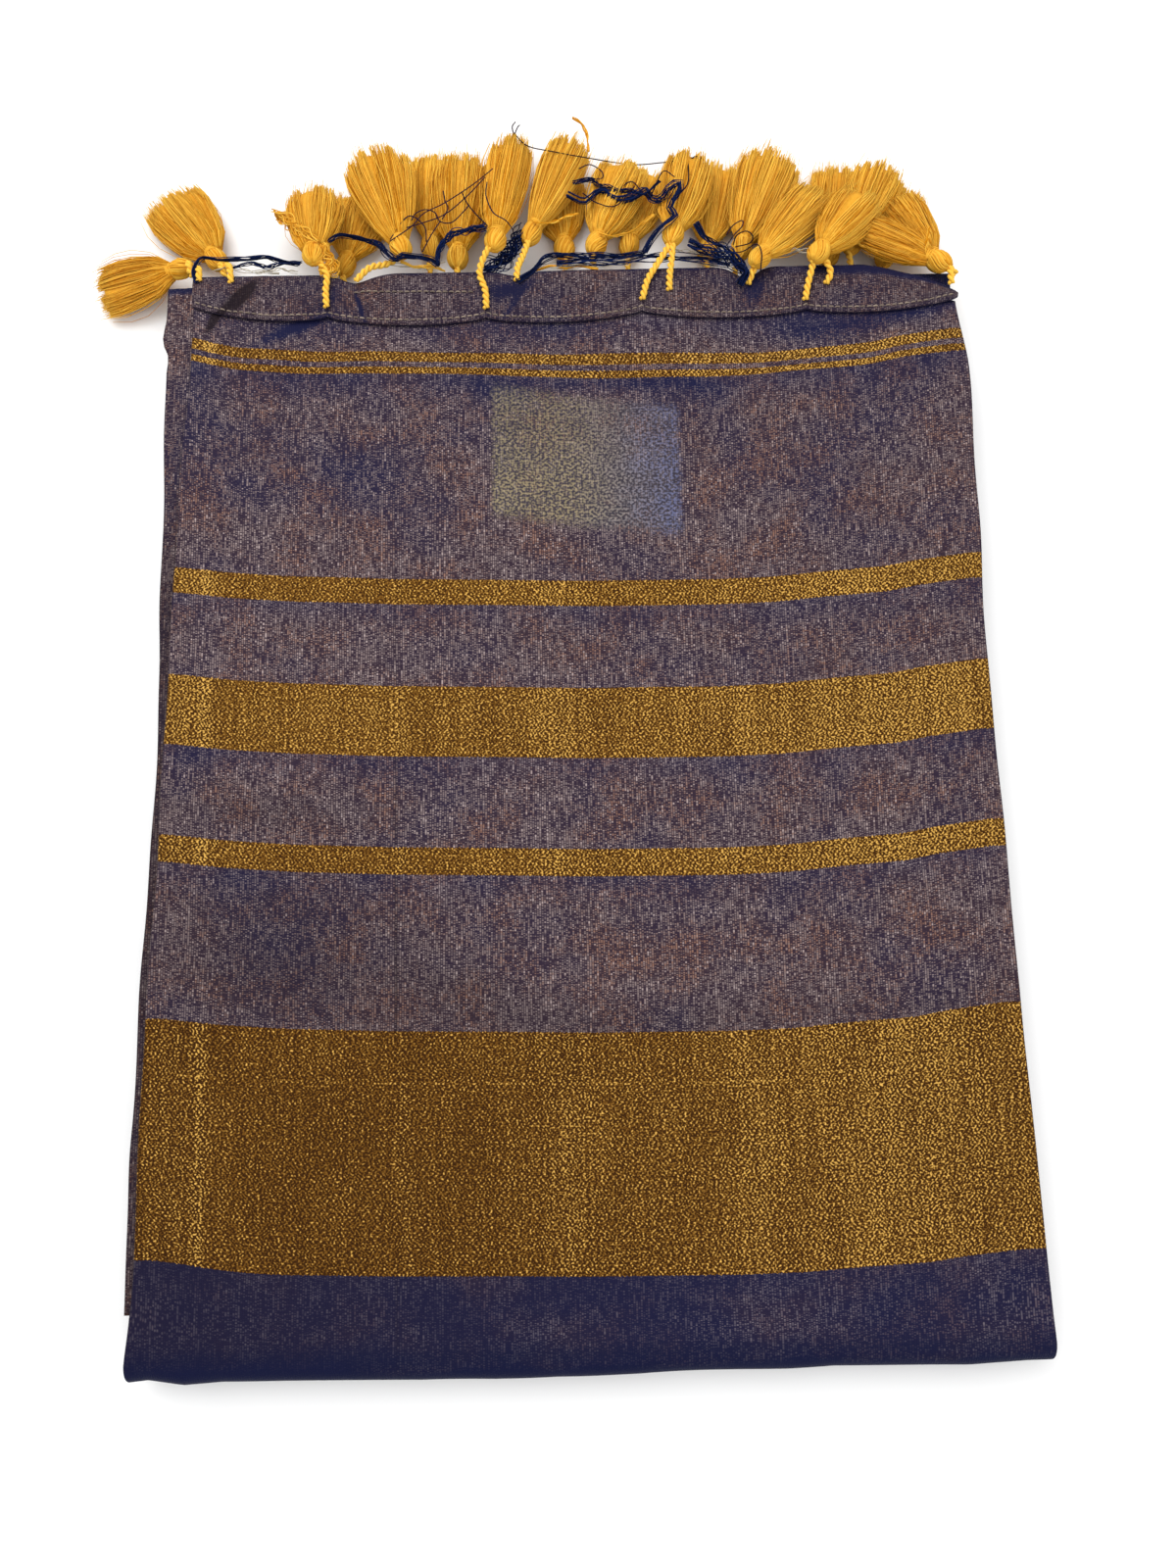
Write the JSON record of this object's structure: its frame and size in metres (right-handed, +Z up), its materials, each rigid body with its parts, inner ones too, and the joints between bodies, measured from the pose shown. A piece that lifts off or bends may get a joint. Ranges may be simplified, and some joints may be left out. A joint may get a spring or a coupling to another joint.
{
  "type": "folded saree",
  "caption": "Folded saree: a flat pack of tissue cloth with its striped pallu on top, turned hem and a row of thread tassels along one end.",
  "frame": {"origin": "centre of the folded pack's flat underside, where it rests", "axes": "+Z up out of the pack, +Y along its length towards the tasselled hem, +X to the right with the tassels at the far end"},
  "size_m": [0.3169, 0.428, 0.0287],
  "materials": {
    "tissue_cloth": "navy and copper tissue weave with woven gold bands, soft metallic sheen",
    "folded_cloth": "navy tissue weave, seen along its folds",
    "hem_cloth": "plain navy and copper tissue, turned over and hand stitched",
    "tassel_yarn": "twisted cotton yarn, matt golden yellow"
  },
  "bodies": {
    "root": {"folded_layers": "folded_cloth", "second_ply": "tissue_cloth", "pallu_front_ply": "tissue_cloth", "pallu_hem": "hem_cloth", "tassel_d1": "tassel_yarn", "tassel_c1": "tassel_yarn", "tassel_d2": "tassel_yarn", "tassel_a1": "tassel_yarn", "tassel_d3": "tassel_yarn", "tassel_a2": "tassel_yarn", "tassel_b1": "tassel_yarn", "tassel_d4": "tassel_yarn", "tassel_c2": "tassel_yarn", "tassel_a3": "tassel_yarn", "tassel_b2": "tassel_yarn", "tassel_a4": "tassel_yarn", "tassel_d5": "tassel_yarn", "tassel_a5": "tassel_yarn", "tassel_b3": "tassel_yarn", "tassel_d6": "tassel_yarn", "tassel_d7": "tassel_yarn", "tassel_a6": "tassel_yarn", "tassel_b4": "tassel_yarn", "tassel_a7": "tassel_yarn", "tassel_c3": "tassel_yarn", "tassel_d8": "tassel_yarn"}
  },
  "joints": []
}
